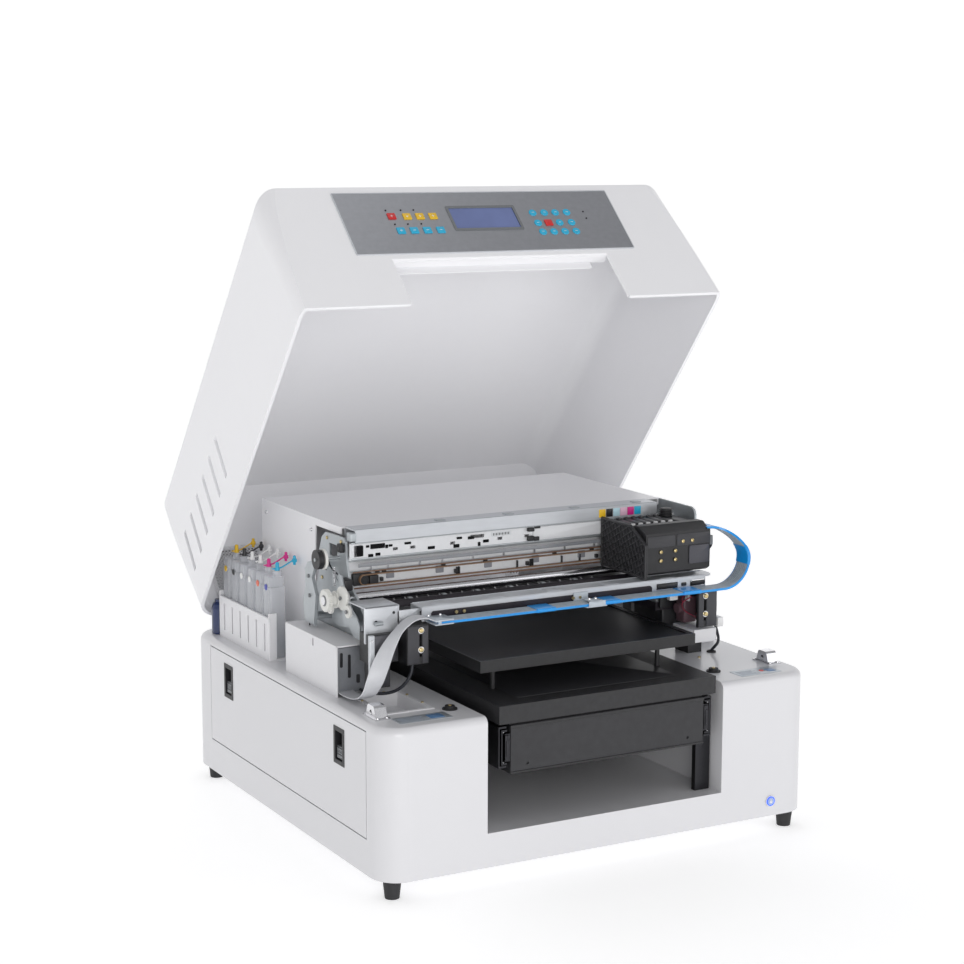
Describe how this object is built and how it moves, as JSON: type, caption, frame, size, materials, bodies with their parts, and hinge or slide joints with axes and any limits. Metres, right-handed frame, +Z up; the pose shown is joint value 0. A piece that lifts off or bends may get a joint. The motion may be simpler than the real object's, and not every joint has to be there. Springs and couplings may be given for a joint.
{
  "type": "flatbed uv printer",
  "caption": "Desktop flatbed printer: white cabinet, sliding black table with a lifting platen, inkjet engine, ink tanks and a hinged hood that stands open.",
  "frame": {"origin": "the middle of the cabinet's footprint, on the bench that its feet stand on", "axes": "+X to the right seen from the front, +Y towards the rear, +Z up"},
  "size_m": [0.801, 0.9319, 1.0681],
  "materials": {
    "white_shell": "gloss",
    "cover_white": "satin",
    "foot_rubber": "matte",
    "chrome_parts": "polished",
    "brass_screws": "satin",
    "button_blue": "gloss",
    "black_plastic": "matte",
    "grey_black_plastic": "matte",
    "steel_case": "satin",
    "board_green": "matte",
    "door_white": "gloss",
    "slide_steel": "brushed",
    "table_black": "satin",
    "platen_black": "anodised",
    "bracket_black": "satin",
    "frame_steel": "plain",
    "plate_steel": "bright",
    "guard_dark": "matte",
    "gear_white": "matte",
    "belt_brown": "matte",
    "motor_grey": "satin",
    "band_blue": "satin",
    "ribbon_white": "satin",
    "lead_dark": "matte",
    "tank_clear": "clear",
    "stopper_colour": "matte",
    "bottle_blue": "gloss",
    "panel_metal": "brushed",
    "display_blue": "lit"
  },
  "bodies": {
    "cabinet": {"base_shell": "white_shell", "feet": "foot_rubber", "recess_tray": "cover_white", "hood_catches": "chrome_parts", "rubber_bumpers": "foot_rubber", "case_screws": "brass_screws", "button_ring": "chrome_parts", "mains_inlet": "black_plastic", "power_supply": "steel_case", "main_board": "board_green", "slide_outer_members": "slide_steel", "engine_mounts": "bracket_black", "left_engine_frame": "frame_steel", "right_engine_frame": "frame_steel", "rear_frame_plate": "plate_steel", "top_rail": "plate_steel", "front_rail": "plate_steel", "head_guard": "guard_dark", "timing_belt": "belt_brown", "drive_motors": "motor_grey", "capping_station": "guard_dark", "ink_band_lower": "band_blue", "ribbon_cable": "ribbon_white", "signal_leads": "lead_dark", "electronics_cover": "cover_white", "rear_engine_cover": "cover_white", "ink_rack": "cover_white", "ink_tanks": "tank_clear", "ink_stoppers": "stopper_colour", "waste_bottle": "bottle_blue", "hinge_base_leaves": "slide_steel"},
    "hood": {"hood_shell": "white_shell", "vent_sheet": "cover_white", "control_plate": "panel_metal", "display": "display_blue", "hinge_hood_leaves": "slide_steel"},
    "door": {"service_door": "door_white", "latch_bezels": "black_plastic"},
    "front_latch_slider": {"front_latch": "grey_black_plastic"},
    "rear_latch_slider": {"rear_latch": "grey_black_plastic"},
    "button": {"power_button": "button_blue"},
    "slide_middles": {"slide_middle_members": "slide_steel"},
    "table": {"table_carriage": "table_black", "slide_inner_members": "slide_steel", "table_front_panel": "table_black", "lift_motor": "motor_grey"},
    "platen_set": {"platen": "platen_black", "platen_guides": "chrome_parts"},
    "print_carriage": {"carriage_body": "black_plastic", "ribbed_cover": "black_plastic", "ink_dampers": "black_plastic", "lamp_box": "bracket_black", "print_head": "motor_grey", "ink_band_upper": "band_blue"},
    "band_loop": {"ink_band_loop": "band_blue"},
    "feed": {"feed_roller": "chrome_parts", "feed_gear": "gear_white"},
    "relay": {"relay_wheel": "black_plastic"},
    "drive": {"drive_pulley": "gear_white"},
    "idler": {"idler_pulley": "black_plastic"}
  },
  "joints": [
    {"name": "hood_hinge", "type": "hinge", "parent": "cabinet", "child": "hood", "pos_m": [0, 0.395, 0.29], "axis": [1, 0, 0], "range_deg": [0, 51]},
    {"name": "table_slide", "type": "slide", "parent": "cabinet", "child": "table", "axis": [0, 1, 0], "range_m": [-0.24, 0.19]},
    {"name": "slide_middle_travel", "type": "slide", "parent": "cabinet", "child": "slide_middles", "axis": [0, 1, 0], "range_m": [-0.12, 0.095]},
    {"name": "platen_lift", "type": "slide", "parent": "table", "child": "platen_set", "axis": [0, 0, 1], "range_m": [-0.03, 0.045]},
    {"name": "carriage_slide", "type": "slide", "parent": "cabinet", "child": "print_carriage", "axis": [1, 0, 0], "range_m": [-0.4, 0], "deforming": ["ink_band_upper"]},
    {"name": "band_loop_travel", "type": "slide", "parent": "print_carriage", "child": "band_loop", "axis": [1, 0, 0], "range_m": [0, 0.2], "deforming": ["ink_band_lower"]},
    {"name": "feed_spin", "type": "hinge", "parent": "cabinet", "child": "feed", "pos_m": [0, -0.103, 0.415], "axis": [1, 0, 0], "continuous": true},
    {"name": "relay_spin", "type": "hinge", "parent": "cabinet", "child": "relay", "pos_m": [-0.356, -0.065, 0.475], "axis": [1, 0, 0], "continuous": true},
    {"name": "drive_spin", "type": "hinge", "parent": "cabinet", "child": "drive", "pos_m": [0.288, -0.089, 0.44], "axis": [0, 1, 0], "continuous": true},
    {"name": "idler_spin", "type": "hinge", "parent": "cabinet", "child": "idler", "pos_m": [-0.288, -0.089, 0.44], "axis": [0, 1, 0], "continuous": true},
    {"name": "power_button_press", "type": "slide", "parent": "cabinet", "child": "button", "axis": [0, 1, 0], "range_m": [0, 0.0025], "stiffness_N_per_m": 600, "springref_m": -0.001},
    {"name": "service_door_hinge", "type": "hinge", "parent": "cabinet", "child": "door", "pos_m": [-0.397, -0.33, 0.098], "axis": [0, -1, 0], "range_deg": [0, 90]},
    {"name": "front_latch_travel", "type": "slide", "parent": "door", "child": "front_latch_slider", "axis": [0, 0, 1], "range_m": [0, 0.008]},
    {"name": "rear_latch_travel", "type": "slide", "parent": "door", "child": "rear_latch_slider", "axis": [0, 0, 1], "range_m": [0, 0.008]}
  ],
  "couplings": [
    {"joint": "slide_middle_travel", "follows": "table_slide", "ratio": 0.5},
    {"joint": "band_loop_travel", "follows": "carriage_slide", "ratio": -0.5},
    {"joint": "drive_spin", "follows": "carriage_slide", "rad_per_m": 135.1},
    {"joint": "idler_spin", "follows": "carriage_slide", "rad_per_m": 135.1}
  ]
}
